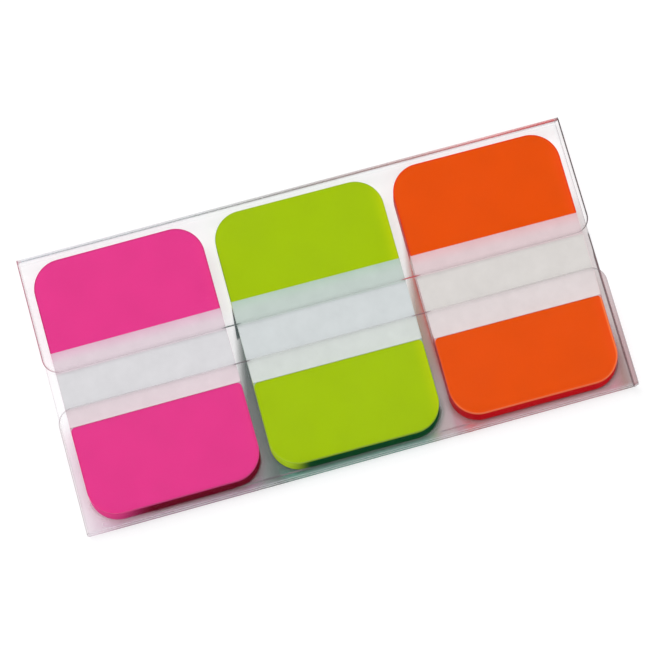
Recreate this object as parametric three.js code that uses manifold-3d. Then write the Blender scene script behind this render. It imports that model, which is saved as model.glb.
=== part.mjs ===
// A flat clear holder with three stacks of index tabs.
// Millimetres, +Z up. The holder lies on its back panel. X runs along its length, +Y towards its
// top fold, and the origin is the middle of the back panel's outer face.

import * as THREE from 'three';
import { mergeVertices } from 'three/addons/utils/BufferGeometryUtils.js';
import Module from 'manifold-3d';

// Tab sizes
const tabWidth = 25.4;
const tabLength = 38.1;
const tabThickness = 0.2;
const tabCornerRadius = 4.3;

// Stack sizes
const tabsPerStack = 12;
const stackGap = 1.65;
const stackLean = 0.6;
const turnedTabShift = 0.08;

// Holder sizes
const filmThickness = 0.25;
const sideMargin = 1.4;
const topMargin = 1.1;
const bottomMargin = 1.0;
const clearanceUnderFlaps = 0.3;
const foldRadius = 0.35;
const slotWidth = 5.4;
const slotRise = 0.1;
const flapCornerRadius = 2.3;

// The three colours from left to right, with each stack's small turn in degrees
const stacks = [
  { name: 'pink', colour: 0xe53c8b, turn: 0.2 },
  { name: 'lime', colour: 0xa0c60e, turn: -0.3 },
  { name: 'orange', colour: 0xe85210, turn: -0.3 },
];

// Facets
const tabCornerFacets = 4;
const foldFacets = 4;
const flapCornerFacets = 10;

// Sizes that follow from the ones above
const stackHeight = tabsPerStack * tabThickness;
const pitch = tabWidth + stackGap;
const holderLength = (stacks.length - 1) * pitch + tabWidth + 2 * sideMargin;
const stackReach = tabLength + stackLean + turnedTabShift;
const holderHeight = 2 * filmThickness + topMargin + stackReach + bottomMargin;
const holderThickness = 2 * filmThickness + stackHeight + clearanceUnderFlaps;
const topFoldY = holderHeight / 2;
const bottomFoldY = -holderHeight / 2;
const stackY = topFoldY - filmThickness - topMargin - tabLength / 2;
const upperFlapEdgeY = stackY + slotRise + slotWidth / 2;
const lowerFlapEdgeY = stackY + slotRise - slotWidth / 2;

const wasm = await Module();
wasm.setup();

// The outline of a tab, a rectangle with four round corners, about its own middle
function tabOutline() {
  const x = tabWidth / 2 - tabCornerRadius;
  const y = tabLength / 2 - tabCornerRadius;
  const outline = new THREE.Shape();
  outline.absarc(x, y, tabCornerRadius, 0, Math.PI / 2);
  outline.absarc(-x, y, tabCornerRadius, Math.PI / 2, Math.PI);
  outline.absarc(-x, -y, tabCornerRadius, Math.PI, 1.5 * Math.PI);
  outline.absarc(x, -y, tabCornerRadius, 1.5 * Math.PI, 2 * Math.PI);
  outline.closePath();
  return outline;
}

// One tab, flat, with its underside at the given height
function tabGeometry(underside) {
  const geometry = new THREE.ExtrudeGeometry(tabOutline(), {
    depth: tabThickness, bevelEnabled: false, curveSegments: tabCornerFacets,
  });
  return geometry.translate(0, 0, underside);
}

// The edge of the holder's film seen from its open end: Y across, Z up.
// It runs over the outside from the upper flap's free edge to the lower flap's, then back inside.
function holderSection() {
  const outside = foldRadius + filmThickness;
  const inside = foldRadius;
  const highY = topFoldY - outside;
  const lowY = bottomFoldY + outside;
  const highZ = holderThickness - outside;
  const lowZ = outside;
  const quarter = Math.PI / 2;

  const section = new THREE.Shape();
  section.moveTo(upperFlapEdgeY, holderThickness);
  section.absarc(highY, highZ, outside, quarter, 0, true);
  section.absarc(highY, lowZ, outside, 0, -quarter, true);
  section.absarc(lowY, lowZ, outside, -quarter, -2 * quarter, true);
  section.absarc(lowY, highZ, outside, 2 * quarter, quarter, true);
  section.lineTo(lowerFlapEdgeY, holderThickness);
  section.lineTo(lowerFlapEdgeY, holderThickness - filmThickness);
  section.absarc(lowY, highZ, inside, quarter, 2 * quarter, false);
  section.absarc(lowY, lowZ, inside, 2 * quarter, 3 * quarter, false);
  section.absarc(highY, lowZ, inside, -quarter, 0, false);
  section.absarc(highY, highZ, inside, 0, quarter, false);
  section.lineTo(upperFlapEdgeY, holderThickness - filmThickness);
  section.closePath();
  return section;
}

// What is cut off a flap to round one corner: a square with a quarter circle left out of it.
// towardEnd is +1 at the right end and -1 at the left, towardSlot is the way that the flap's
// free edge faces along Y.
function cornerOffcut(edgeY, towardEnd, towardSlot) {
  const margin = 1;
  const x = towardEnd * holderLength / 2;
  const centreX = x - towardEnd * flapCornerRadius;
  const centreY = edgeY - towardSlot * flapCornerRadius;
  const outline = new THREE.Shape();
  for (let i = 0; i <= flapCornerFacets; i += 1) {
    const angle = (Math.PI / 2) * (i / flapCornerFacets);
    const px = centreX + towardEnd * flapCornerRadius * Math.cos(angle);
    const py = centreY + towardSlot * flapCornerRadius * Math.sin(angle);
    if (i === 0) outline.moveTo(x + towardEnd * margin, py);
    outline.lineTo(px, py);
  }
  outline.lineTo(centreX, edgeY + towardSlot * margin);
  outline.lineTo(x + towardEnd * margin, edgeY + towardSlot * margin);
  outline.closePath();
  const bottom = holderThickness - filmThickness - clearanceUnderFlaps / 2;
  const geometry = new THREE.ExtrudeGeometry(outline, {
    depth: filmThickness + clearanceUnderFlaps, bevelEnabled: false,
  });
  return geometry.translate(0, 0, bottom);
}

// A closed three.js geometry as a solid that can be cut
function solidFrom(geometry) {
  const plain = geometry.clone();
  plain.deleteAttribute('normal');
  plain.deleteAttribute('uv');
  const merged = mergeVertices(plain, 1e-4);
  return new wasm.Manifold(new wasm.Mesh({
    numProp: 3,
    vertProperties: new Float32Array(merged.attributes.position.array),
    triVerts: new Uint32Array(merged.index.array),
  }));
}

// A cut solid as a three.js geometry again
function geometryFrom(solid) {
  const mesh = solid.getMesh();
  const geometry = new THREE.BufferGeometry();
  geometry.setAttribute('position', new THREE.BufferAttribute(mesh.vertProperties, 3));
  geometry.setIndex(new THREE.BufferAttribute(mesh.triVerts, 1));
  geometry.computeVertexNormals();
  return geometry;
}

// The holder: one sheet of clear film, folded over at the top and the bottom and open at its ends
function holderGeometry() {
  const sheet = new THREE.ExtrudeGeometry(holderSection(), {
    depth: holderLength, bevelEnabled: false, curveSegments: foldFacets,
  });
  const along = new THREE.Vector3(1, 0, 0);
  const across = new THREE.Vector3(0, 1, 0);
  const up = new THREE.Vector3(0, 0, 1);
  sheet.applyMatrix4(new THREE.Matrix4().makeBasis(across, up, along));
  sheet.translate(-holderLength / 2, 0, 0);

  let solid = solidFrom(sheet);
  for (const towardEnd of [-1, 1]) {
    solid = solid.subtract(solidFrom(cornerOffcut(upperFlapEdgeY, towardEnd, -1)));
    solid = solid.subtract(solidFrom(cornerOffcut(lowerFlapEdgeY, towardEnd, 1)));
  }
  return geometryFrom(solid);
}

// One stack: tabs in turn with their coloured end up and down the holder, counted from the top.
// The stack leans a little, so that its lower tabs show past the bottom edge of the upper ones.
function addStack(part, stack, index) {
  const group = new THREE.Group();
  group.position.set((index - (stacks.length - 1) / 2) * pitch, stackY, 0);
  group.rotation.z = THREE.MathUtils.degToRad(stack.turn);
  for (let i = 0; i < tabsPerStack; i += 1) {
    const underside = filmThickness + (tabsPerStack - 1 - i) * tabThickness;
    const material = new THREE.MeshStandardMaterial({ color: stack.colour, roughness: 0.35, metalness: 0 });
    const tab = new THREE.Mesh(tabGeometry(underside), material);
    tab.name = `${stack.name}_tab_${String(i + 1).padStart(2, '0')}`;
    const lean = (-stackLean * i) / (tabsPerStack - 1);
    const turned = i % 2 === 1;
    tab.position.y = turned ? lean - turnedTabShift : lean;
    group.add(tab);
  }
  part.add(group);
}

const part = new THREE.Group();
const film = new THREE.MeshStandardMaterial({
  color: 0xe9edef, roughness: 0.12, metalness: 0, transparent: true, opacity: 0.25,
});
const holder = new THREE.Mesh(holderGeometry(), film);
holder.name = 'holder';
part.add(holder);
stacks.forEach((stack, index) => addStack(part, stack, index));

export default part;
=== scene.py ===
"""The looks of a clear film holder with three stacks of index tabs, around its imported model.

The classes hold lengths in millimetres, as the part's source does, and meshes are made in metres.
X runs along the holder, +Y towards its top fold and +Z up from its back panel. A Fade is a pair of
places: a smooth step is 0 at the first of them and 1 at the second.
"""
import logging
import math
from dataclasses import dataclass
from enum import Enum
from typing import Any, Mapping, Sequence

import bmesh
import bpy
from mathutils import Matrix, Vector


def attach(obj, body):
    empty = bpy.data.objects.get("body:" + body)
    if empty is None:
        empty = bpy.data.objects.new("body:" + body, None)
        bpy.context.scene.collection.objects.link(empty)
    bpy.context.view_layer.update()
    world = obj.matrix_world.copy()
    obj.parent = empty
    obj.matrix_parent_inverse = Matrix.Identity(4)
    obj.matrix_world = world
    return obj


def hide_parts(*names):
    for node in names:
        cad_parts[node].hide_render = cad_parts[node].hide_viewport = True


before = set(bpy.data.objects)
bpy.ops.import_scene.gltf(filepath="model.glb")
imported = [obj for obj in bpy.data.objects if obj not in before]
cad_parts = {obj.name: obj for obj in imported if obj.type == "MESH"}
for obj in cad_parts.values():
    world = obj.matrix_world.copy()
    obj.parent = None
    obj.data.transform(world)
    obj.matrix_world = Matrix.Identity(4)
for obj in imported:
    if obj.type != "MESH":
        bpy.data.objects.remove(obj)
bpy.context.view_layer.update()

log = logging.getLogger("index_tabs")
MM = 0.001
BODY = "root"
QUARTER = math.pi / 2
CLOUDY = 3.0
Bytes = tuple[int, int, int]
Colour = tuple[float, float, float, float]
Fade = tuple[float, float]
Point = tuple[float, float, float]
Stops = tuple[tuple[float, Colour], ...]


def colour_from_bytes(red: int, green: int, blue: int) -> Colour:
    """Turns a screen colour into the linear colour that shaders take.

    Args:
        red: Red, 0 to 255.
        green: Green, 0 to 255.
        blue: Blue, 0 to 255.

    Returns:
        The linear colour, with full alpha.
    """
    def linear(byte: int) -> float:
        """Undoes the standard screen curve for one channel."""
        part = byte / 255
        return part / 12.92 if part <= 0.04045 else ((part + 0.055) / 1.055) ** 2.4

    return linear(red), linear(green), linear(blue), 1.0


def scaled(colour: Colour, factor: float) -> Colour:
    """Multiplies a colour's light by a factor, at full alpha."""
    return tuple(factor * part for part in colour[:3]) + (1.0,)


def ramp_stops(*stops: tuple[float, Bytes, float]) -> Stops:
    """Makes a colour ramp's stops of their places, screen colours and strengths, kept as alpha."""
    return tuple((place, colour_from_bytes(*tone)[:3] + (strength,)) for place, tone, strength in stops)


def shifted(fade: Fade, by: float) -> Fade:
    """Moves both places of a fade."""
    return fade[0] + by, fade[1] + by


class Signal:
    """A number that varies over a surface. Python's operators on it add Math nodes."""

    def __init__(self, graph: "ShaderGraph", socket: bpy.types.NodeSocket) -> None:
        """Wraps an output socket of the graph."""
        self.graph = graph
        self.socket = socket

    def __add__(self, other: "Signal | float") -> "Signal":
        """Adds."""
        return self.graph.math("ADD", self, other)

    def __radd__(self, other: float) -> "Signal":
        """Adds, from the right."""
        return self.graph.math("ADD", other, self)

    def __sub__(self, other: "Signal | float") -> "Signal":
        """Subtracts."""
        return self.graph.math("SUBTRACT", self, other)

    def __rsub__(self, other: float) -> "Signal":
        """Subtracts this from a number."""
        return self.graph.math("SUBTRACT", other, self)

    def __mul__(self, other: "Signal | float") -> "Signal":
        """Multiplies."""
        return self.graph.math("MULTIPLY", self, other)

    def __rmul__(self, other: float) -> "Signal":
        """Multiplies, from the right."""
        return self.graph.math("MULTIPLY", other, self)

    def __truediv__(self, other: "Signal | float") -> "Signal":
        """Divides."""
        return self.graph.math("DIVIDE", self, other)

    def __rtruediv__(self, other: float) -> "Signal":
        """Divides a number by this."""
        return self.graph.math("DIVIDE", other, self)

    def __pow__(self, exponent: float) -> "Signal":
        """Raises to a power."""
        return self.graph.math("POWER", self, exponent)

    def __abs__(self) -> "Signal":
        """Drops the sign."""
        return self.graph.math("ABSOLUTE", self)

    def least(self, other: "Signal | float") -> "Signal":
        """Takes the smaller of the two."""
        return self.graph.math("MINIMUM", self, other)

    def most(self, other: "Signal | float") -> "Signal":
        """Takes the larger of the two."""
        return self.graph.math("MAXIMUM", self, other)

    def rise(self, low: float, high: float) -> "Signal":
        """Goes smoothly from 0 at low to 1 at high, and stays there.

        Args:
            low: Where the result is still 0.
            high: Where it has reached 1. A high below low gives a fall.

        Returns:
            The smooth step.
        """
        node = self.graph.add(
            "ShaderNodeMapRange",
            {"interpolation_type": "SMOOTHSTEP"},
            {"Value": self, "From Min": low, "From Max": high},
        )
        return Signal(self.graph, node.outputs["Result"])


class ShaderGraph:
    """One material's node tree, built around a Principled shader."""

    def __init__(self, name: str) -> None:
        """Makes an empty material of that name with its output and its Principled shader."""
        self.material = bpy.data.materials.new(name)
        self.material.use_nodes = True
        self.tree = self.material.node_tree
        self.tree.nodes.clear()
        self.output = self.add("ShaderNodeOutputMaterial")
        self.shader = self.add("ShaderNodeBsdfPrincipled")
        self.tree.links.new(self.shader.outputs["BSDF"], self.output.inputs["Surface"])

    def add(
        self,
        kind: str,
        settings: Mapping[str, Any] | None = None,
        inputs: Mapping[str | int, Any] | None = None,
    ) -> bpy.types.Node:
        """Adds a node, sets it up and feeds it.

        Args:
            kind: The node's type name.
            settings: Its properties. "stops" sets a colour ramp's places and colours.
            inputs: Values, sockets or signals by the name or index of the node's input.

        Returns:
            The node.
        """
        node = self.tree.nodes.new(kind)
        for key, value in (settings or {}).items():
            if key == "stops":
                self.set_stops(node, value)
            else:
                setattr(node, key, value)
        for key, value in (inputs or {}).items():
            self.feed(node.inputs[key], value)
        return node

    def set_stops(self, node: bpy.types.Node, stops: Stops) -> None:
        """Gives a colour ramp its stops.

        Args:
            node: The ramp.
            stops: Its places and colours, from the lowest place to the highest.
        """
        elements = node.color_ramp.elements
        while len(elements) < len(stops):
            elements.new(1.0)
        for element, (place, colour) in zip(elements, stops):
            element.position = place
            element.color = colour

    def feed(self, socket: bpy.types.NodeSocket, value: Any) -> None:
        """Links something to an input, or sets the input's own value.

        Args:
            socket: The input.
            value: A signal or a socket to link, or the value.
        """
        if isinstance(value, Signal):
            value = value.socket
        if isinstance(value, bpy.types.NodeSocket):
            self.tree.links.new(value, socket)
        else:
            socket.default_value = value

    def dress(self, **inputs: Any) -> bpy.types.Material:
        """Feeds the Principled shader.

        Args:
            **inputs: Values by the socket's name, with a low line for each space.

        Returns:
            The finished material.
        """
        for key, value in inputs.items():
            self.feed(self.shader.inputs[key.replace("_", " ")], value)
        return self.material

    def math(self, operation: str, *values: Signal | float) -> Signal:
        """Adds a Math node on one or two numbers."""
        node = self.add("ShaderNodeMath", {"operation": operation}, dict(enumerate(values)))
        return Signal(self, node.outputs[0])

    def blend(self, share: Signal | float, first: Any, second: Any) -> bpy.types.NodeSocket:
        """Mixes a share of 0 to 1 of the second colour into the first. Either may be a socket."""
        node = self.add("ShaderNodeMix", {"data_type": "RGBA"}, {0: share, 6: first, 7: second})
        return node.outputs[2]

    def ramp(self, share: Signal, stops: Stops) -> tuple[bpy.types.NodeSocket, Signal]:
        """Looks a number of 0 to 1 up in a colour ramp, and returns the colour and the strength."""
        node = self.add("ShaderNodeValToRGB", {"stops": stops}, {0: share})
        return node.outputs["Color"], Signal(self, node.outputs["Alpha"])

    def place(self) -> tuple[Signal, Signal, Signal]:
        """Returns the place on the piece along X, Y and Z, in millimetres."""
        where = self.add("ShaderNodeTexCoord")
        split = self.add("ShaderNodeSeparateXYZ", None, {0: where.outputs["Object"]})
        across, along, up = (Signal(self, split.outputs[i]) / MM for i in range(3))
        return across, along, up

    def rounded_distance(self, past_side: Signal, past_end: Signal, corner: float) -> Signal:
        """Measures how far a place lies inside an outline with a round corner.

        Args:
            past_side: How far it lies from the straight side, inwards.
            past_end: How far it lies from the straight end, inwards.
            corner: The corner's radius.

        Returns:
            The distance in millimetres.
        """
        beyond_side = corner - past_side
        beyond_end = corner - past_end
        outside = (beyond_side.most(0.0) ** 2.0 + beyond_end.most(0.0) ** 2.0) ** 0.5
        inside = beyond_side.most(beyond_end).least(0.0)
        return corner - (outside + inside)

    def grain(self, size: float, detail: float = 2.0) -> Signal:
        """Adds noise over the piece.

        Args:
            size: The width of a grain in millimetres.
            detail: How many finer layers lie over it.

        Returns:
            The noise, about 0.5.
        """
        where = self.add("ShaderNodeTexCoord")
        noise = self.add(
            "ShaderNodeTexNoise",
            None,
            {"Vector": where.outputs["Object"], "Scale": 1 / (size * MM), "Detail": detail},
        )
        return Signal(self, noise.outputs[0])

    def bumps(self, height: Signal, depth: float) -> bpy.types.NodeSocket:
        """Turns a height of 0 to 1 into a normal, with its relief's depth in millimetres."""
        settings = {"Height": height, "Distance": depth * MM, "Strength": 1.0}
        return self.add("ShaderNodeBump", None, settings).outputs["Normal"]


class TabColour(Enum):
    """The three colours of tab, from left to right."""

    PINK = "pink"
    LIME = "lime"
    ORANGE = "orange"


class Layer(Enum):
    """Where a tab lies in its stack."""

    TOP = "top"
    SECOND = "second"
    BURIED = "buried"


class Face(Enum):
    """The four kinds of surface on a tab, with the index of each one's material."""

    INK = 0
    INK_RIM = 1
    CLEAR = 2
    CLEAR_RIM = 3


@dataclass(frozen=True)
class TabShape:
    """The shape that every tab has, about its own middle, with its coloured end towards +Y."""

    width: float = 25.4
    length: float = 38.1
    thickness: float = 0.2
    corner: float = 4.3
    air: float = 0.006
    softened: float = 0.03
    sharp_corner: float = 0.12
    round_corner: float = 0.85
    corner_facets: int = 18
    border_facets: int = 7

    def outline(self, inset: float, side_break: float) -> list[Vector]:
        """Traces the tab's outline anticlockwise from a point on its right side.

        Args:
            inset: How far inside the full outline it runs.
            side_break: The place along Y of a point on each of the straight sides, above 0.

        Returns:
            The outline's points, from the right side's own point on.
        """
        half_x = self.width / 2 - self.corner
        half_y = self.length / 2 - self.corner
        radius = self.corner - inset
        side = self.width / 2 - inset
        centres = ((half_x, half_y), (-half_x, half_y), (-half_x, -half_y), (half_x, -half_y))
        points = [Vector((side, side_break))]
        for quarter, (x, y) in enumerate(centres):
            for step in range(self.corner_facets + 1):
                angle = QUARTER * (quarter + step / self.corner_facets)
                points.append(Vector((x + radius * math.cos(angle), y + radius * math.sin(angle))))
            if quarter == 1:
                points.append(Vector((-side, side_break)))
        return points

    def ink_border(self, boundary: float, radius: float) -> list[Vector]:
        """Traces the coloured end's inner border from left to right, its corners rounded.

        Args:
            boundary: Where the border lies along Y.
            radius: The radius of its corners.

        Returns:
            The border's points between the tab's two sides.
        """
        arc = []
        for step in range(1, self.border_facets + 1):
            angle = QUARTER * step / self.border_facets
            x = self.width / 2 - radius * (1 - math.cos(angle))
            arc.append(Vector((x, boundary + radius * (1 - math.sin(angle)))))
        return [Vector((-p.x, p.y)) for p in arc] + arc[::-1]


@dataclass(frozen=True)
class StackPlan:
    """How the tabs lie in each stack, and the stacks in the holder."""

    pitch: float = 27.05
    level: float = 0.29
    floor: float = 0.25
    tabs: int = 12
    lean: float = 0.6
    turned_shift: float = 0.08

    def along(self, index: int) -> float:
        """Says how far along Y a tab lies, by its number from 0 at the top. The odd ones are turned."""
        shift = self.turned_shift if index % 2 else 0.0
        return -self.lean * index / (self.tabs - 1) - shift

    def foot(self, tab: TabShape) -> float:
        """Returns how far the stacks' feet lie below the holder's middle along Y."""
        return tab.length / 2 - self.level - self.along(self.tabs - 1)


def in_stack(across: Signal, turned: bool) -> Signal:
    """Turns a place along X on a tab into the one in its stack."""
    return across * (-1.0 if turned else 1.0)


@dataclass(frozen=True)
class ColouredEnd:
    """The printed, opaque end of a tab: satin coloured film.

    The rim is the cut edges' deep colour, partly their own and partly painted shade, and the
    glint the painted highlight where they catch the light. A painted highlight colour lightens the
    face's right side. The fades are places along X in the stack, except for the ledge, which is
    measured inwards from the outline.
    """

    name: str
    tab: TabShape
    face: Colour
    rim: Colour
    glint: Colour
    highlight_and_shade: Colour
    glint_share: float
    outline_share: float
    deep: Fade
    ledge: Fade = (0.4, 0.1)
    thin_outline: Fade = (0.55, 1.0)
    left: Fade = (0.8, 0.2)
    right: Fade = (10.8, 13.1)
    least_deep: float = 0.03
    highlight_and_shade_share: float = 0.9
    left_unlit: float = 0.8
    left_deep: float = 0.6
    mottle_size: float = 6.0
    mottle: Fade = (0.35, 0.7)
    mottle_depth: float = 0.96
    grain_size: float = 0.35
    grain_share: float = 0.6
    relief: float = 0.004
    roughness: float = 0.34
    roughness_spread: float = 0.08
    sheen: float = 0.04
    rim_grain_size: float = 0.25
    rim_mottle: Fade = (0.3, 0.75)
    rim_depth: float = 0.75
    rim_grain_share: float = 0.15
    rim_roughness: float = 0.42

    def ledge_share(self, graph: ShaderGraph, across: Signal, along: Signal) -> Signal:
        """Finds the narrow ledge along the tab's outline, which shows past the tab above.

        Args:
            graph: The material's graph.
            across: The place along X on the tab.
            along: The place along Y on the tab.

        Returns:
            1 on the ledge, 0 further in.
        """
        past_side = self.tab.width / 2 - abs(across)
        past_end = self.tab.length / 2 - abs(along)
        return graph.rounded_distance(past_side, past_end, self.tab.corner).rise(*self.ledge)

    def left_side(self, across: Signal) -> Signal:
        """Finds the stack's left side, by the place along X in the stack."""
        return across.rise(*shifted(self.left, -self.tab.width / 2))

    def deep_share(self, across: Signal) -> Signal:
        """Says how much painted shade, not painted highlight, the ledges and cut edges get along X."""
        return across.rise(*self.deep) * (1 - self.least_deep) + self.least_deep

    def face_material(self, layer: Layer, turned: bool) -> bpy.types.Material:
        """Builds the flat faces' finish: even ink, faint mottle, fine satin grain and painted light.

        Args:
            layer: Where the tab lies. The second one's outline gets a painted highlight.
            turned: Whether the coloured end points down the holder.

        Returns:
            The material.
        """
        graph = ShaderGraph(f"{self.name}_ink_{layer.value}_{'down' if turned else 'up'}")
        across, along, _ = graph.place()
        mottle = graph.grain(self.mottle_size, CLOUDY)
        fine = graph.grain(self.grain_size)
        deeper = scaled(self.face, self.mottle_depth)
        colour = graph.blend(mottle.rise(*self.mottle), self.face, deeper)
        place = in_stack(across, turned)
        # A painted highlight lightens the face's right side.
        colour = graph.blend(place.rise(*self.right) * self.highlight_and_shade_share, colour, self.highlight_and_shade)
        ledge = self.ledge_share(graph, across, along)
        if layer is Layer.TOP:
            outline = ledge.rise(*self.thin_outline)
            colour = graph.blend(outline * self.outline_share, colour, self.rim)
        elif layer is Layer.SECOND:
            # The second tab: a painted highlight on its ledge, fainter on the left side.
            lit = ledge * (1 - self.left_side(place) * self.left_unlit)
            colour = graph.blend(lit * self.glint_share, colour, self.glint)
        else:
            # The buried tabs: their ledges go from a painted highlight to painted shade along X.
            beside = graph.blend(self.deep_share(place), self.glint, self.rim)
            colour = graph.blend(ledge, colour, beside)
        height = fine * self.grain_share + mottle * (1 - self.grain_share)
        return graph.dress(
            Base_Color=colour,
            Roughness=self.roughness + fine * self.roughness_spread,
            Specular_IOR_Level=self.sheen,
            Normal=graph.bumps(height, self.relief),
        )

    def rim_material(self, turned: bool) -> bpy.types.Material:
        """Builds the cut edge's finish, with painted highlight and painted shade along the stack.

        Args:
            turned: Whether the end points down the holder.

        Returns:
            The material.
        """
        graph = ShaderGraph(f"{self.name}_cut_edge_{'down' if turned else 'up'}")
        across, _, _ = graph.place()
        place = in_stack(across, turned)
        fine = graph.grain(self.rim_grain_size)
        deep = graph.blend(fine.rise(*self.rim_mottle), self.rim, scaled(self.rim, self.rim_depth))
        # Lower end: painted highlight turning to painted shade along X. Upper end: painted shade on the
        # left side, over a random fleck.
        if turned:
            pale = self.glint
            share = self.deep_share(place)
        else:
            pale = self.face
            share = fine * self.rim_grain_share + self.left_side(place) * self.left_deep
        return graph.dress(
            Base_Color=graph.blend(share, pale, deep),
            Roughness=self.rim_roughness,
            Specular_IOR_Level=self.sheen,
        )


@dataclass(frozen=True)
class ClearEnd:
    """The clear end of a tab, with its thin layer of glue: milky where the ends lie on each other.

    The slot is its colour between the flaps, and pressed and lower are its colours under the upper
    and the lower flap. Beside the coloured end its colour is painted light: the ink's colour,
    scattered into the clear end. The borders are the distances of this end's and the turned tabs'
    inks from the tab's middle, and the step is how far one tab lies past the next. The fades are
    places along Y, some of them from a border.
    """

    name: str
    ink: ColouredEnd
    slot: Colour
    pressed: Colour
    lower: Colour
    ink_light: Colour
    near_border: float
    far_border: float
    step: float
    near_ink: Fade = (-0.1, 1.9)
    ink_light_share: float = 0.75
    under_flap: Fade = (2.45, 2.85)
    under_lower: Fade = (0.5, -0.5)
    past_ink: Fade = (-0.4, 0.6)
    band: Fade = (-0.12, 0.04)
    milkiness: float = 0.7
    milk_spread: float = 0.2
    haze: float = 0.001
    cloud_size: float = 3.5
    cloud_share: float = 0.7
    grain_size: float = 0.5
    relief: float = 0.01
    roughness: float = 0.3
    roughness_spread: float = 0.1
    sheen: float = 0.04
    rim_grain_size: float = 0.25
    rim_ink_light: float = 0.4
    rim_past_ink: Fade = (-0.9, 0.3)
    rim_deep_up: float = 0.25
    rim_deep_down: float = 0.8
    rim_roughness: float = 0.35
    rim_sheen: float = 0.15

    def face_material(self, layer: Layer) -> bpy.types.Material:
        """Builds the flat faces' finish, with the coloured end's scattered light painted beside it.

        Args:
            layer: Where the tab lies. The top ones are clear over the coloured end below them.

        Returns:
            The material.
        """
        graph = ShaderGraph(f"{self.name}_clear_{layer.value}")
        across, along, _ = graph.place()
        cloud = graph.grain(self.cloud_size, CLOUDY)
        fine = graph.grain(self.grain_size)
        beside_ink = 1 - (self.near_border - along).rise(*self.near_ink)
        under = graph.blend(along.rise(*self.under_lower), self.pressed, self.lower)
        colour = graph.blend(abs(along).rise(*self.under_flap), self.slot, under)
        # Painted light: the coloured end's colour, scattered into the clear end beside it.
        colour = graph.blend(beside_ink * self.ink_light_share, colour, self.ink_light)
        if layer is Layer.BURIED:
            # Buried tabs' ledges past the ink: painted highlight turning to painted shade.
            past_ink = abs(along).rise(*shifted(self.past_ink, self.far_border))
            ledge = self.ink.ledge_share(graph, across, along) * past_ink
            beside = graph.blend(self.ink.deep_share(across), self.ink.glint, self.ink.rim)
            colour = graph.blend(ledge, colour, beside)
            alpha = 1.0
        else:
            over_band = (along + (self.far_border + self.step)).rise(*self.band)
            alpha = self.haze + over_band * (self.milkiness + (cloud - 0.5) * self.milk_spread)
        height = cloud * self.cloud_share + fine * (1 - self.cloud_share)
        return graph.dress(
            Base_Color=colour,
            Roughness=self.roughness + fine * self.roughness_spread,
            Specular_IOR_Level=self.sheen,
            Alpha=alpha,
            Normal=graph.bumps(height, self.relief),
        )

    def rim_material(self, turned: bool) -> bpy.types.Material:
        """Builds the cut edge's finish: pale, and painted highlight and shade by the inks at the
        bottom.

        Args:
            turned: Whether the clear end points up the holder.

        Returns:
            The material.
        """
        graph = ShaderGraph(f"{self.name}_clear_edge_{'up' if turned else 'down'}")
        across, along, _ = graph.place()
        place = in_stack(across, turned)
        fine = graph.grain(self.rim_grain_size)
        pale = graph.blend(fine * self.rim_ink_light, self.pressed, self.ink_light)
        # Near the inks the edge takes painted highlight and painted shade; the pale part is flecked
        # with the ink's painted light.
        beside_ink = abs(along).rise(*shifted(self.rim_past_ink, self.far_border))
        between = graph.blend(self.ink.deep_share(place), self.ink.glint, self.ink.rim)
        if turned:
            share = self.rim_deep_up + self.ink.left_side(place) * self.ink.left_deep
        else:
            share = self.rim_deep_down
        return graph.dress(
            Base_Color=graph.blend(beside_ink * share, pale, between),
            Roughness=self.rim_roughness,
            Specular_IOR_Level=self.rim_sheen,
        )


@dataclass(frozen=True)
class FilmSize:
    """The sizes of the holder's folded sheet of film. The fold is its outer radius."""

    length: float = 82.3
    height: float = 41.38
    thickness: float = 3.2
    film: float = 0.25
    fold: float = 0.6
    upper_edge: float = 3.09
    lower_edge: float = -2.31
    corner: float = 2.3


class FilmPlace:
    """A place on the holder's film, as signals: distances in millimetres and shares of 1."""

    def __init__(self, graph: ShaderGraph, size: FilmSize) -> None:
        """Works out the signals.

        Args:
            graph: The material's graph.
            size: The film's sizes.
        """
        front: Fade = (-0.1, 0.1)
        right: Fade = (-1.0, 1.0)
        top: Fade = (-1.0, 1.0)
        bottom: Fade = (0.6, -0.6)
        self.graph = graph
        self.size = size
        self.across, self.along, self.up = graph.place()
        self.on_front = self.up.rise(*shifted(front, size.thickness / 2))
        self.at_right = self.across.rise(*right)
        self.at_top = self.along.rise(*top)
        self.at_bottom = self.along.rise(*bottom)
        self.from_left = self.across / size.length + 0.5
        self.to_side = size.length / 2 - abs(self.across)
        self.to_fold = size.height / 2 - abs(self.along)


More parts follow.
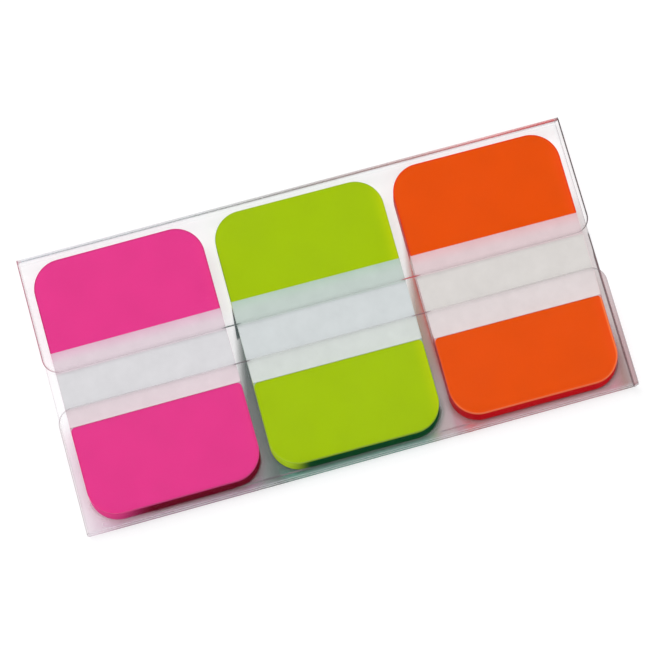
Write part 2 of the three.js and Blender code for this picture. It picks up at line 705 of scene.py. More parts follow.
@dataclass(frozen=True)
class EdgeLines:
    """The thin lines that the film's free edges show, with painted refraction that colours them like
    what lies behind them.

    The line, the painted soft shadow beside it and the corner are measured inwards from an edge,
    and the flap from the upper flap's edge. The back panel's lines are faint, except at the right
    below the upper flap.
    """

    line: Fade = (0.22, 0.07)
    wider_behind: float = 0.12
    highlight_and_shade: Fade = (0.75, 0.0)
    highlight_and_shade_share: float = 0.07
    low_colour: Colour = colour_from_bytes(104, 84, 92)
    low_colour_share: float = 0.75
    behind: float = 0.12
    flap: Fade = (0.3, -0.3)
    corner: Fade = (1.6, 0.8)
    low_fading: float = 0.3
    # The lines' colours along X: painted refraction of the stacks and gaps behind the edges.
    stops: Stops = ramp_stops(
        (0.000, (176, 84, 110), 0.62),
        (0.030, (176, 150, 160), 0.06),
        (0.318, (140, 146, 146), 0.05),
        (0.326, (60, 74, 74), 0.75),
        (0.346, (50, 66, 66), 0.80),
        (0.354, (140, 152, 148), 0.05),
        (0.645, (150, 146, 146), 0.05),
        (0.655, (190, 46, 60), 0.78),
        (0.674, (190, 46, 60), 0.78),
        (0.684, (160, 140, 140), 0.05),
        (0.975, (140, 124, 124), 0.10),
        (1.000, (36, 20, 24), 0.88),
    )

    def paint(self, place: FilmPlace) -> tuple[Signal, bpy.types.NodeSocket]:
        """Draws the lines.

        Args:
            place: The place on the film.

        Returns:
            How strong a line is there, and its colour.
        """
        graph, size = place.graph, place.size
        upper = graph.rounded_distance(place.to_side, place.along - size.upper_edge, size.corner)
        lower = graph.rounded_distance(place.to_side, size.lower_edge - place.along, size.corner)
        to_edge = place.to_side + (upper.most(lower) - place.to_side) * place.on_front
        wider = place.at_right * place.at_bottom * (1 - place.on_front) * self.wider_behind
        line = (to_edge - wider).rise(*self.line)
        # A painted soft shadow beside the front's edges, in the lines' colour.
        highlight_and_shade = to_edge.rise(*self.highlight_and_shade) * place.on_front * self.highlight_and_shade_share
        colour, strength = graph.ramp(place.from_left, self.stops)
        colour = graph.blend(place.at_bottom * self.low_colour_share, colour, self.low_colour)

        below_flap = place.along.rise(*shifted(self.flap, size.upper_edge))
        behind = self.behind + place.at_right * below_flap * (1 - self.behind)
        at_corner = place.to_side.rise(*self.corner)
        before = 1 - place.at_bottom * (at_corner * self.low_fading + self.low_fading)
        shown = behind + (before - behind) * place.on_front
        return (line * strength + highlight_and_shade) * shown, colour


@dataclass(frozen=True)
class FoldMarks:
    """The whitened folds of the film, with the line of light along the top one.

    The crease is measured from the middle of the fold, and the wall is a share of the fold.
    """

    crease: Fade = (0.36, 0.1)
    crease_at: float = 0.5
    wall: Fade = (0.5, 0.1)
    faint: float = 0.05
    wall_share: float = 0.04
    strong: float = 0.32
    strong_share: float = 0.5
    colour: Colour = colour_from_bytes(176, 176, 186)
    top_stops: Stops = ramp_stops(
        (0.00, (150, 160, 170), 0.22),
        (0.30, (140, 148, 150), 0.32),
        (0.52, (130, 116, 112), 0.42),
        (0.70, (160, 110, 108), 0.44),
        (0.86, (206, 90, 92), 0.46),
        (1.00, (196, 52, 58), 0.62),
    )

    def paint(self, place: FilmPlace) -> tuple[Signal, bpy.types.NodeSocket]:
        """Draws the folds.

        Args:
            place: The place on the film.

        Returns:
            How strong the mark is there, and its colour.
        """
        graph, fold = place.graph, place.size.fold
        crease = abs(place.to_fold - fold * self.crease_at).rise(*self.crease)
        wall = place.to_fold.rise(fold * self.wall[0], fold * self.wall[1])
        on_top = place.at_top * place.on_front
        top_colour, top_strength = graph.ramp(place.from_left, self.top_stops)
        strong = (top_strength - self.strong).most(0.0) * place.at_top
        on_wall = wall * (self.wall_share + strong * self.strong_share)
        mark = (crease * (self.faint + on_top * top_strength)).most(on_wall)
        return mark, graph.blend(on_top, self.colour, top_colour)


@dataclass(frozen=True)
class ThrownShade:
    """The colour and shade that the stacks throw on the inside of the back panel.

    The shade covers the panel's lower part up to a front that climbs to the right in each gap. It is
    deep right beside the stacks' feet, and the first gap holds a dark reflection, the sliver. The
    fades are places along X, Y or Z, as each of their uses says.
    """

    tab: TabShape
    plan: StackPlan
    over_panel: Fade = (0.1, 0.16)
    up_fold: Fade = (0.5, 1.0)
    front: Fade = (9.0, -1.0)
    climb: float = 5.0
    past_second_gap: Fade = (8.0, 12.0)
    drop: float = 6.0
    near_fold: Fade = (0.2, 1.1)
    fold_share: float = 0.1
    right_margin: Fade = (39.5, 40.1)
    margin_low: Fade = (-16.0, -8.0)
    margin_low_share: float = 0.45
    margin_slot: Fade = (-5.0, -1.0)
    margin_slot_share: float = 0.14
    beside_foot: Fade = (-1.1, 0.0)
    low_end: Fade = (-13.0, -17.0)
    second_gap: Fade = (3.0, 1.2)
    gap_end: Fade = (-8.0, -15.0)
    gap_end_share: float = 0.7
    gap_end_colour: Colour = colour_from_bytes(178, 156, 170)
    sliver_left: Fade = (0.0, 0.1)
    sliver_right: Fade = (-12.5, -12.6)
    sliver_top: Fade = (6.6, 5.6)
    sliver_bottom: Fade = (0.8, 1.8)
    sliver_tip: float = 6.8
    sliver_slope: float = 0.1
    sliver_gap: float = 0.02
    sliver_share: float = 0.9
    sliver_colour: Colour = colour_from_bytes(22, 60, 60)
    link: Fade = (0.16, 0.05)
    link_at: float = 1.0
    link_first: Fade = (6.0, 2.0)
    link_first_share: float = 0.6
    link_second_share: float = 0.35
    stops: Stops = ramp_stops(
        (0.000, (206, 170, 194), 0.30),
        (0.060, (176, 92, 144), 0.66),
        (0.290, (160, 74, 128), 0.82),
        (0.325, (80, 90, 88), 0.76),
        (0.346, (50, 76, 68), 0.86),
        (0.390, (44, 156, 130), 0.93),
        (0.610, (52, 160, 134), 0.91),
        (0.655, (166, 122, 66), 0.70),
        (0.667, (174, 112, 86), 0.72),
        (0.676, (204, 62, 54), 0.91),
        (0.735, (200, 86, 112), 0.76),
        (0.965, (196, 96, 118), 0.72),
        (0.984, (152, 94, 86), 0.76),
        (1.000, (150, 124, 124), 0.68),
    )
    foot_stops: Stops = ramp_stops(
        (0.030, (186, 90, 134), 0.60),
        (0.130, (136, 44, 68), 0.96),
        (0.325, (104, 38, 52), 0.96),
        (0.345, (28, 72, 58), 0.96),
        (0.655, (34, 76, 44), 0.96),
        (0.680, (160, 66, 70), 0.94),
        (1.000, (132, 46, 54), 0.94),
    )

    def paint(self, place: FilmPlace) -> tuple[Signal, bpy.types.NodeSocket]:
        """Draws the shade.

        Args:
            place: The place on the film.

        Returns:
            How strong the shade is there, and its colour.
        """
        graph, across, along = place.graph, place.across, place.along
        colour, strength = graph.ramp(place.from_left, self.stops)
        foot_colour, foot_strength = graph.ramp(place.from_left, self.foot_stops)
        foot = self.foot_shade(place) * foot_strength
        covered = (along - self.front_line(across)).rise(*self.front)
        off_fold = place.to_fold.rise(*self.near_fold) * self.fold_share + (1 - self.fold_share)
        shade = covered * strength.most(foot) * off_fold * (1 - self.paler_margin(across, along))
        sliver = self.dark_sliver(across, along)
        gap_end = self.in_second_gap(across) * along.rise(*self.gap_end) * self.gap_end_share
        colour = graph.blend(gap_end, colour, self.gap_end_colour)
        colour = graph.blend(foot, colour, foot_colour)
        colour = graph.blend(sliver, colour, self.sliver_colour)
        inside = place.up.rise(*self.over_panel) * (1 - place.up.rise(*self.up_fold))
        return shade.most(sliver * self.sliver_share) * inside, colour

    def foot_shade(self, place: FilmPlace) -> Signal:
        """Finds the soft shade that each stack throws right beside its foot.

        Args:
            place: The place on the film.

        Returns:
            1 at the stack's outline and under it, 0 a little away from it.
        """
        from_middle = place.graph.math("PINGPONG", place.across, self.plan.pitch / 2)
        past_side = self.tab.width / 2 - from_middle
        past_foot = place.along + self.plan.foot(self.tab)
        inside = place.graph.rounded_distance(past_side, past_foot, self.tab.corner)
        return inside.rise(*self.beside_foot) * place.along.rise(*self.low_end)

    def front_line(self, across: Signal) -> Signal:
        """Says how far the shade's front lies towards the top fold.

        Args:
            across: The place along X.

        Returns:
            The front's place along Y in millimetres.
        """
        in_first = across + self.plan.pitch / 2
        in_second = across - self.plan.pitch / 2
        climbed = in_first.most(-1.0).least(1.0) + in_second.most(-1.0).least(1.0)
        return climbed * self.climb - across.rise(*self.past_second_gap) * self.drop

    def paler_margin(self, across: Signal, along: Signal) -> Signal:
        """Says how much paler the shade is in the right margin, the more so away from the foot.

        Args:
            across: The place along X.
            along: The place along Y.

        Returns:
            The share that the shade loses.
        """
        low = along.rise(*self.margin_low) * self.margin_low_share
        slot = along.rise(*self.margin_slot) * self.margin_slot_share
        return across.rise(*self.right_margin) * (low + slot)

    def in_second_gap(self, across: Signal) -> Signal:
        """Finds the gap between the middle and the right stack, by the place along X."""
        return abs(across - self.plan.pitch / 2).rise(*self.second_gap)

    def dark_sliver(self, across: Signal, along: Signal) -> Signal:
        """Finds the dark reflection beside the middle stack's left edge, between the flaps.

        Args:
            across: The place along X.
            along: The place along Y.

        Returns:
            1 in the sliver, 0 outside.
        """
        width = (self.sliver_tip - along) * self.sliver_slope
        side = self.tab.width / 2 + self.sliver_gap
        beside = (across + side + width).rise(*self.sliver_left) * across.rise(*self.sliver_right)
        return beside * along.rise(*self.sliver_top) * along.rise(*self.sliver_bottom)

    def foot_link(self, place: FilmPlace) -> Signal:
        """Finds the faint line on the front that links the stacks' feet across the gaps.

        Args:
            place: The place on the film.

        Returns:
            How strong the line is there.
        """
        in_first = abs(place.across + self.plan.pitch / 2).rise(*self.link_first)
        in_second = self.in_second_gap(place.across) * self.link_second_share
        in_gaps = (in_first * self.link_first_share).most(in_second) * (1 - place.at_top)
        return abs(place.to_fold - self.link_at).rise(*self.link) * in_gaps * place.on_front


@dataclass(frozen=True)
class HolderFilm:
    """The holder's clear film: faint haze, whitened folds, edge lines and what is thrown on it."""

    size: FilmSize
    shade: ThrownShade
    lines: EdgeLines = EdgeLines()
    folds: FoldMarks = FoldMarks()
    haze: Colour = colour_from_bytes(236, 238, 243)
    least_haze: float = 0.0005
    cloud_haze: float = 0.001
    clouds: Fade = (0.35, 0.8)
    cloud_size: float = 7.0
    cloud_share: float = 0.85
    grain_size: float = 0.6
    relief: float = 0.02
    roughness: float = 0.08
    roughness_spread: float = 0.08
    fold_gain: float = 8.0
    shade_shows: Fade = (0.02, 0.2)
    side: Fade = (40.35, 40.6)
    side_low: Fade = (-5.0, -17.0)
    side_least: float = 0.06
    side_share: float = 0.3
    side_low_share: float = 0.2
    side_gain: float = 12.0
    margin_haze_and_shade_colour: Colour = colour_from_bytes(176, 132, 136)
    line_yields: float = 0.02
    gloss_blend: float = 0.35
    gloss_share: float = 0.04
    slant_from: float = 0.06
    slant_share: float = 0.2
    cut: Colour = colour_from_bytes(196, 192, 196)
    cut_grain_size: float = 0.3
    cut_roughness: float = 0.3
    cut_sheen: float = 0.3
    cut_alpha: float = 0.4

    def sheet_material(self) -> bpy.types.Material:
        """Builds the finish of the film's two faces."""
        graph = ShaderGraph("clear_film_sheet")
        place = FilmPlace(graph, self.size)
        cloud = graph.grain(self.cloud_size, CLOUDY)
        fine = graph.grain(self.grain_size)
        line, line_colour = self.lines.paint(place)
        line = line.most(self.shade.foot_link(place))
        fold, fold_colour = self.folds.paint(place)
        shade, shade_colour = self.shade.paint(place)
        side = self.margin_haze_and_shade(place)

        haze = self.least_haze + cloud.rise(*self.clouds) * self.cloud_haze
        alpha = haze.most(fold).most(line).most(shade).most(side)
        colour = graph.blend((fold * self.fold_gain).least(1.0), self.haze, fold_colour)
        colour = graph.blend(shade.rise(*self.shade_shows), colour, shade_colour)
        # The front's right margin: haze and painted shade, in a pinkish grey.
        colour = graph.blend((side * self.side_gain).least(1.0), colour, self.margin_haze_and_shade_colour)
        line_share = line / (line + shade + side + self.line_yields)
        colour = graph.blend(line_share, colour, line_colour)

        gloss = self.gloss(graph)
        together = (alpha + gloss).least(1.0)
        height = cloud * self.cloud_share + fine * (1 - self.cloud_share)
        return graph.dress(
            Base_Color=colour,
            Metallic=gloss / together,
            Roughness=self.roughness + fine * self.roughness_spread,
            Alpha=together,
            Normal=graph.bumps(height, self.relief),
        )

    def margin_haze_and_shade(self, place: FilmPlace) -> Signal:
        """Finds the haze and painted shade on the front's right margin, stronger down the lower flap.

        Args:
            place: The place on the film.

        Returns:
            How strong the haze is there.
        """
        # Haze and painted shade together, stronger down the lower flap.
        low = place.along.rise(*self.side_low) * self.side_low_share + self.side_share
        haze = place.at_bottom * low + self.side_least
        return haze * place.on_front * place.across.rise(*self.side)

    def gloss(self, graph: ShaderGraph) -> Signal:
        """Says how much the film mirrors, which grows where it slants away."""
        facing = graph.add("ShaderNodeLayerWeight", None, {"Blend": self.gloss_blend})
        fresnel = Signal(graph, facing.outputs["Fresnel"])
        return fresnel * self.gloss_share + (fresnel - self.slant_from).most(0.0) * self.slant_share

    def cut_material(self) -> bpy.types.Material:
        """Builds the finish of the film's cut edges."""
        graph = ShaderGraph("clear_film_cut_edge")
        fine = graph.grain(self.cut_grain_size)
        return graph.dress(
            Base_Color=graph.blend(fine, self.cut, self.folds.colour),
            Roughness=self.cut_roughness,
            Specular_IOR_Level=self.cut_sheen,
            Alpha=self.cut_alpha,
        )


@dataclass
class TabStack:
    """One stack of tabs, which turn about in it, counted from the top."""

    colour: TabColour
    ink: ColouredEnd
    clear: ClearEnd
    middle: float
    turn: float
    upper_ink: float
    lower_ink: float
    shape: TabShape
    plan: StackPlan
    same_place: float = 1e-9

    def mesh(self, name: str, ink_length: float, ink_corner: float) -> bpy.types.Mesh:
        """Builds one tab's mesh: two flat faces, each in two finishes, and a softened rim.

        Args:
            name: The mesh's name.
            ink_length: How long the coloured end is.
            ink_corner: The radius of the coloured end's inner corners.

        Returns:
            The mesh, in metres.
        """
        shape = self.shape
        boundary = shape.length / 2 - ink_length
        side_break = boundary + ink_corner
        low, high = shape.air, shape.thickness - shape.air
        soft = shape.softened
        layers = ((soft, low), (0.0, low + soft), (0.0, high - soft), (soft, high))
        made = bmesh.new()
        rings = [
            [made.verts.new((p.x * MM, p.y * MM, z * MM)) for p in shape.outline(inset, side_break)]
            for inset, z in layers
        ]
        count = len(rings[0])
        for below, above in zip(rings, rings[1:]):
            for i in range(count):
                k = (i + 1) % count
                face = made.faces.new((below[i], below[k], above[k], above[i]))
                middle = (below[i].co.y + below[k].co.y) / 2 / MM
                face.material_index = (Face.INK_RIM if middle > side_break else Face.CLEAR_RIM).value
                face.smooth = True
        border = shape.ink_border(boundary, ink_corner)
        self.add_flat_faces(made, rings[0], low, border, False)
        self.add_flat_faces(made, rings[-1], high, border, True)
        mesh = bpy.data.meshes.new(name)
        made.to_mesh(mesh)
        made.free()
        return mesh

    def add_flat_faces(
        self,
        made: bmesh.types.BMesh,
        ring: list[bmesh.types.BMVert],
        z: float,
        ink_border: list[Vector],
        upward: bool,
    ) -> None:
        """Closes one side of a tab with its coloured face and its clear face.

        Args:
            made: The mesh in the making.
            ring: The outline's points on this side, the first of them at the border on the right.
            z: The side's height.
            ink_border: The coloured end's inner border, from left to right.
            upward: Whether the side faces up.
        """
        left = next(
            i
            for i, vert in enumerate(ring)
            if vert.co.x < 0 and abs(vert.co.y - ring[0].co.y) < self.same_place
        )
        border = [
            made.verts.new((p.x * MM, p.y * MM, z * MM))
            for p in ink_border
            if abs(p.x) < self.shape.width / 2 - self.shape.softened
        ]
        inked = ring[: left + 1] + border
        clear = ring[left:] + [ring[0]] + border[::-1]
        for loop, kind in ((inked, Face.INK), (clear, Face.CLEAR)):
            face = made.faces.new(loop if upward else loop[::-1])
            face.material_index = kind.value
            for edge in face.edges:
                edge.smooth = False

    def build(self) -> list[bpy.types.Object]:
        """Makes the stack's tabs, dresses them and puts each in its place.

        Returns:
            The tabs, from the top one down.
        """
        # One ink in lit and shaded copies by layer: a painted highlight on the second tab's outline,
        # painted highlight and shade on the buried tabs' ledges.
        kinds = ((Layer.TOP, False), (Layer.SECOND, True), (Layer.BURIED, False), (Layer.BURIED, True))
        inks = {kind: self.ink.face_material(*kind) for kind in kinds}
        clears = {layer: self.clear.face_material(layer) for layer in Layer}
        ink_rims = [self.ink.rim_material(turned) for turned in (False, True)]
        clear_rims = [self.clear.rim_material(turned) for turned in (False, True)]
        last = self.plan.tabs - 1
        pieces = []
        for i in range(self.plan.tabs):
            turned = i % 2 == 1
            outer = Layer.SECOND if turned else Layer.TOP
            ink = inks[outer if i < 2 else Layer.BURIED, turned]
            clear = clears[outer if min(i, last - i) < 2 else Layer.BURIED]
            pieces.append(self.add_tab(i, turned, (ink, ink_rims[turned], clear, clear_rims[turned])))
        return pieces

    def add_tab(
        self, index: int, turned: bool, finishes: Sequence[bpy.types.Material]
    ) -> bpy.types.Object:
        """Adds one tab.

        Args:
            index: Its number from the top, from 0.
            turned: Whether its coloured end points down the holder.
            finishes: Its materials, in the order of Face.

        Returns:
            The tab.
        """
        node = f"{self.colour.value}_tab_{index + 1:02d}"
        name = f"{node}_sheet"
        if turned:
            mesh = self.mesh(name, self.lower_ink, self.shape.round_corner)
        else:
            mesh = self.mesh(name, self.upper_ink, self.shape.sharp_corner)
        piece = bpy.data.objects.new(name, mesh)
        for material in finishes:
            piece.data.materials.append(material)
        bpy.context.scene.collection.objects.link(piece)
        piece.matrix_world = self.place_of(index, turned)
        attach(piece, BODY)
        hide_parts(node)
        log.info("%s: %d faces", name, len(piece.data.polygons))
        return piece

    def place_of(self, index: int, turned: bool) -> Matrix:
        """Works out where a tab lies.

        Args:
            index: Its number from the top, from 0.
            turned: Whether its coloured end points down the holder.

        Returns:
            The tab's place in the world, in metres.
        """
        plan = self.plan
        height = plan.floor + (plan.tabs - 1 - index) * self.shape.thickness
        return (
            Matrix.Translation(Vector((self.middle, plan.level, 0)) * MM)
            @ Matrix.Rotation(math.radians(self.turn), 4, "Z")
            @ Matrix.Translation(Vector((0, plan.along(index), height)) * MM)
            @ Matrix.Rotation(math.pi if turned else 0.0, 4, "Z")
        )


@dataclass
class Station:
    """One point on the outside of the holder's film, seen from its open end."""

    along: float
    up: float
    out_along: float
    out_up: float
    half_length: float
    freedom: float


@dataclass
class FilmHolder:
    """The holder: one sheet of clear film, folded over at the top and the bottom."""

    tab: TabShape
    plan: StackPlan
    size: FilmSize = FilmSize()
    edge_dip: float = 0.14
    ripple: float = 0.04
    ripple_phase: float = 0.9
    droop: float = 1.6
    corner_steps: int = 12
    flap_steps: int = 14
    fold_steps: int = 8
    back_steps: int = 16
    columns: int = 48

    def flap_stations(self, edge: float, side: int) -> list[Station]:
        """Lists a flap's points from its free edge to its fold.

        Args:
            edge: Where the free edge lies along Y.
            side: +1 for the flap at the top fold, -1 for the one at the bottom fold.

        Returns:
            The stations, the one on the fold left out.
        """
        size = self.size
        reach = size.height / 2 - size.fold - side * edge
        places = []
        for step in range(self.corner_steps + 1):
            angle = QUARTER * step / self.corner_steps
            into = size.corner * (1 - math.cos(angle))
            places.append((into, size.length / 2 - size.corner + size.corner * math.sin(angle)))
        for step in range(1, self.flap_steps):
            into = size.corner + (reach - size.corner) * step / self.flap_steps
            places.append((into, size.length / 2))
        return [
            Station(edge + side * into, size.thickness, 0, 1, half, 1 - into / reach)
            for into, half in places
        ]

    def quarter_turn(self, along: float, up: float, start: float) -> list[Station]:
        """Lists a quarter fold's points, clockwise from an angle.

        Args:
            along: The fold's middle along Y.
            up: The fold's middle along Z.
            start: The angle that it starts at, in quarter turns.

        Returns:
            The stations.
        """
        fold, half = self.size.fold, self.size.length / 2
        stations = []
        for step in range(self.fold_steps + 1):
            angle = QUARTER * (start - step / self.fold_steps)
            y, z = math.cos(angle), math.sin(angle)
            stations.append(Station(along + fold * y, up + fold * z, y, z, half, 0.0))
        return stations

    def stations(self) -> list[Station]:
        """Lists the film's points from the upper flap's free edge round to the lower flap's."""
        size = self.size
        high = size.height / 2 - size.fold
        top = size.thickness - size.fold
        back = [
            Station(high - 2 * high * step / self.back_steps, 0.0, 0, -1, size.length / 2, 0.0)
            for step in range(1, self.back_steps)
        ]
        return (
            self.flap_stations(size.upper_edge, 1)
            + self.quarter_turn(high, top, 1)
            + self.quarter_turn(high, size.fold, 0)
            + back
            + self.quarter_turn(-high, size.fold, -1)
            + self.quarter_turn(-high, top, -2)
            + self.flap_stations(size.lower_edge, -1)[::-1]
        )

    def dip(self, station: Station, across: float) -> float:
        """Says how far in millimetres a flap hangs down at a station and a place along X."""
        wave = math.sin(2 * math.pi * across / self.plan.pitch + self.ripple_phase)
        return station.freedom ** self.droop * (self.edge_dip + self.ripple * wave)

    def mesh(self, name: str) -> bpy.types.Mesh:
        """Builds the folded sheet with its two faces and its cut edges.

        Args:
            name: The mesh's name.

        Returns:
            The mesh, in metres.
        """
        made = bmesh.new()
        outer: list[list[bmesh.types.BMVert]] = []
        inner: list[list[bmesh.types.BMVert]] = []
        for station in self.stations():
            for depth, grid in ((0.0, outer), (self.size.film, inner)):
                row = []
                for column in range(self.columns + 1):
                    across = station.half_length * (2 * column / self.columns - 1)
                    along = station.along - depth * station.out_along
                    up = station.up - depth * station.out_up - self.dip(station, across)
                    row.append(made.verts.new(Vector((across, along, up)) * MM))
                grid.append(row)
        for i in range(len(outer) - 1):
            for k in range(self.columns):
                made.faces.new((outer[i][k], outer[i + 1][k], outer[i + 1][k + 1], outer[i][k + 1]))
                made.faces.new((inner[i][k], inner[i][k + 1], inner[i + 1][k + 1], inner[i + 1][k]))
        for face in made.faces:
            face.smooth = True
        self.close_rim(made, outer, inner)
        bmesh.ops.recalc_face_normals(made, faces=made.faces[:])
        mesh = bpy.data.meshes.new(name)
        made.to_mesh(mesh)
        made.free()
        return mesh

    def close_rim(
        self,
        made: bmesh.types.BMesh,
        outer: list[list[bmesh.types.BMVert]],
        inner: list[list[bmesh.types.BMVert]],
    ) -> None:
        """Joins the film's two faces along its outline with the cut edge.

        Args:
            made: The mesh in the making.
            outer: The outside's points by station and column.
            inner: The inside's points by station and column.
        """
        def border(grid: list[list[bmesh.types.BMVert]]) -> list[bmesh.types.BMVert]:
            """Lists a grid's border points in turn."""
            right = [row[-1] for row in grid[1:-1]]
            left = [row[0] for row in grid[1:-1]]
            return grid[0] + right + grid[-1][::-1] + left[::-1]

        outside, inside = border(outer), border(inner)
        count = len(outside)
        for i in range(count):
            k = (i + 1) % count
            face = made.faces.new((outside[i], outside[k], inside[k], inside[i]))
            face.material_index = 1
            for edge in face.edges:
                ends = set(edge.verts)
                if ends in ({outside[i], outside[k]}, {inside[i], inside[k]}):
                    edge.smooth = False

    def build(self) -> bpy.types.Object:
        """Makes the holder and dresses it.

        Returns:
            The holder.
        """
        name = "holder_film"
        piece = bpy.data.objects.new(name, self.mesh(name))
        finish = HolderFilm(self.size, ThrownShade(self.tab, self.plan))
        piece.data.materials.append(finish.sheet_material())
        piece.data.materials.append(finish.cut_material())
        bpy.context.scene.collection.objects.link(piece)
        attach(piece, BODY)
        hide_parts("holder")
        log.info("%s: %d faces", name, len(piece.data.polygons))
        return piece


@dataclass(frozen=True)
class SoftLight:
    """A square soft light that looks at the object, in metres and watts."""

    name: str
    place: Point
    size: float
    power: float

    def build(self) -> None:
        """Adds the light."""
        data = bpy.data.lights.new(self.name, "AREA")
        data.shape = "SQUARE"
        data.size = self.size
        data.energy = self.power
        light = bpy.data.objects.new(self.name, data)
        light.location = self.place
        light.rotation_euler = (-Vector(self.place)).to_track_quat("-Z", "Y").to_euler()
        bpy.context.scene.collection.objects.link(light)


@dataclass
class Studio:
    """The floor, the lights, the background and the camera. The floor's reach is in metres."""

    floor_reach: float = 3.0
    floor_gap: float = 0.03
    floor_cells: int = 12
    floor_colour: Colour = colour_from_bytes(180, 180, 181)
    floor_shade: Colour = colour_from_bytes(172, 172, 174)
    floor_tone_size: float = 90.0
    floor_tone: Fade = (0.2, 0.9)
    floor_tone_share: float = 0.05
    floor_roughness: float = 0.75
    floor_sheen: float = 0.1
    floor_glow: float = 0.58
    white: Colour = (1.0, 1.0, 1.0, 1.0)
    world: float = 0.62
    lights: tuple[SoftLight, ...] = (
        SoftLight("key", (-0.25, 0.55, 0.8), 0.7, 5.2),
        SoftLight("fill", (0.7, -0.3, 0.9), 0.9, 2.2),
    )
    eye: Point = (-20.232, -43.355, 289.041)
    ahead: Point = (0.06834, 0.14849, -0.98655)
    overhead: Point = (0.26051, 0.9519, 0.16133)
    lens: float = 110.77
    sensor: float = 36.0
    clip: tuple[float, float] = (0.01, 50.0)

    def build(self) -> None:
        """Makes the whole studio."""
        self.add_floor()
        self.add_world()
        for light in self.lights:
            light.build()
        self.add_camera()

    def add_floor(self) -> None:
        """Adds the plain pale floor, a table lit a little from below."""
        made = bmesh.new()
        cells = self.floor_cells
        bmesh.ops.create_grid(made, x_segments=cells, y_segments=cells, size=self.floor_reach)
        bmesh.ops.translate(made, verts=made.verts[:], vec=(0, 0, -self.floor_gap * MM))
        mesh = bpy.data.meshes.new("floor")
        made.to_mesh(mesh)
        made.free()
        floor = bpy.data.objects.new("floor", mesh)
        graph = ShaderGraph("pale_floor")
        tone = graph.grain(self.floor_tone_size).rise(*self.floor_tone) * self.floor_tone_share
        mesh.materials.append(
            graph.dress(
                Base_Color=graph.blend(tone, self.floor_colour, self.floor_shade),
                Roughness=self.floor_roughness,
                Specular_IOR_Level=self.floor_sheen,
                Emission_Color=self.white,
                Emission_Strength=self.floor_glow,
            )
        )
        bpy.context.scene.collection.objects.link(floor)

    def add_world(self) -> None:
        """Lights the scene evenly from all round."""
        world = bpy.data.worlds.new("studio")
        world.use_nodes = True
        background = world.node_tree.nodes["Background"]
        background.inputs["Color"].default_value = self.white
        background.inputs["Strength"].default_value = self.world
        bpy.context.scene.world = world

    def add_camera(self) -> None:
        """Adds the camera where the photograph was taken from."""
        data = bpy.data.cameras.new("camera")
        data.lens = self.lens
        data.sensor_width = self.sensor
        data.sensor_fit = "HORIZONTAL"
        data.clip_start, data.clip_end = self.clip
        camera = bpy.data.objects.new("camera", data)
        ahead = Vector(self.ahead).normalized()
        right = ahead.cross(Vector(self.overhead)).normalized()
        up = right.cross(ahead)
        axes = Matrix((right, up, -ahead)).transposed().to_4x4()
        camera.matrix_world = Matrix.Translation(Vector(self.eye) * MM) @ axes
        bpy.context.scene.collection.objects.link(camera)
        bpy.context.scene.camera = camera


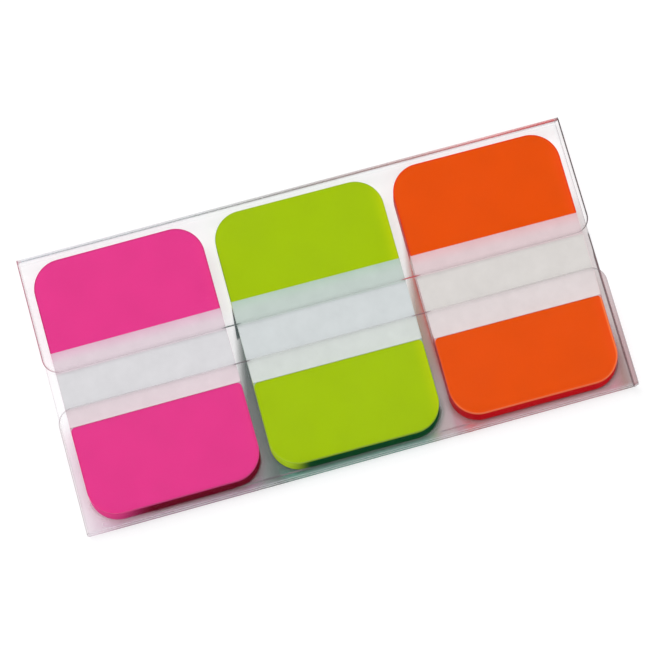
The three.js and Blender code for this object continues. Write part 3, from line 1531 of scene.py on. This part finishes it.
@dataclass(frozen=True)
class StackLook:
    """One stack's screen colours, painted light among them, and measures: ink, cut edges, clear band.
    """

    colour: TabColour
    face: Bytes
    rim: Bytes
    glint: Bytes
    highlight_and_shade: Bytes
    slot: Bytes
    pressed: Bytes
    lower: Bytes
    ink_light: Bytes
    glint_share: float
    outline_share: float
    deep: Fade
    turn: float
    upper_ink: float
    lower_ink: float

    def stack(self, middle: float, tab: TabShape, plan: StackPlan) -> TabStack:
        """Describes the stack.

        Args:
            middle: Where its middle lies along X.
            tab: The tabs' shape.
            plan: How the tabs lie.

        Returns:
            The stack, not built yet.
        """
        ink = ColouredEnd(
            name=self.colour.value,
            tab=tab,
            face=colour_from_bytes(*self.face),
            rim=colour_from_bytes(*self.rim),
            glint=colour_from_bytes(*self.glint),
            highlight_and_shade=colour_from_bytes(*self.highlight_and_shade),
            glint_share=self.glint_share,
            outline_share=self.outline_share,
            deep=self.deep,
        )
        clear = ClearEnd(
            name=self.colour.value,
            ink=ink,
            slot=colour_from_bytes(*self.slot),
            pressed=colour_from_bytes(*self.pressed),
            lower=colour_from_bytes(*self.lower),
            ink_light=colour_from_bytes(*self.ink_light),
            near_border=tab.length / 2 - self.upper_ink,
            far_border=tab.length / 2 - self.lower_ink,
            step=-plan.along(1),
        )
        return TabStack(
            self.colour, ink, clear, middle, self.turn, self.upper_ink, self.lower_ink, tab, plan
        )


# Per stack: glint and the right side's colour are painted highlights, the rim is partly painted shade,
# and the clear end's colour beside the ink is painted scattered light.
STACK_LOOKS = (
    StackLook(
        TabColour.PINK,
        face=(229, 58, 141),
        rim=(132, 4, 40),
        glint=(255, 84, 168),
        highlight_and_shade=(233, 60, 139),
        slot=(232, 231, 234),
        pressed=(244, 230, 237),
        lower=(246, 232, 237),
        ink_light=(248, 200, 224),
        glint_share=0.1,
        outline_share=0.25,
        deep=(-11.0, -4.0),
        turn=0.2,
        upper_ink=13.2,
        lower_ink=13.9,
    ),
    StackLook(
        TabColour.LIME,
        face=(164, 195, 0),
        rim=(0, 84, 40),
        glint=(214, 246, 46),
        highlight_and_shade=(191, 208, 0),
        slot=(224, 229, 230),
        pressed=(216, 228, 222),
        lower=(234, 239, 235),
        ink_light=(202, 226, 208),
        glint_share=0.15,
        outline_share=0.12,
        deep=(-11.0, -7.5),
        turn=-0.3,
        upper_ink=12.85,
        lower_ink=13.15,
    ),
    StackLook(
        TabColour.ORANGE,
        face=(231, 80, 0),
        rim=(222, 12, 30),
        glint=(255, 150, 84),
        highlight_and_shade=(242, 79, 18),
        slot=(232, 228, 225),
        pressed=(244, 225, 228),
        lower=(245, 236, 236),
        ink_light=(252, 202, 208),
        glint_share=0.8,
        outline_share=0.45,
        deep=(-30.0, -23.0),
        turn=-0.3,
        upper_ink=13.15,
        lower_ink=12.5,
    ),
)


def set_view() -> None:
    """Shows colours as they are and lets rays through every layer of film."""
    scene = bpy.context.scene
    scene.view_settings.view_transform = "Standard"
    scene.cycles.transparent_max_bounces = 48


def main() -> None:
    """Builds the studio, the holder and its stacks; each piece's face count goes to the log."""
    logging.basicConfig(level=logging.INFO, format="%(name)s %(message)s")
    tab, plan = TabShape(), StackPlan()
    set_view()
    Studio().build()
    FilmHolder(tab, plan).build()
    for i, look in enumerate(STACK_LOOKS):
        look.stack((i - 1) * plan.pitch, tab, plan).build()


if __name__ == "__main__":
    main()
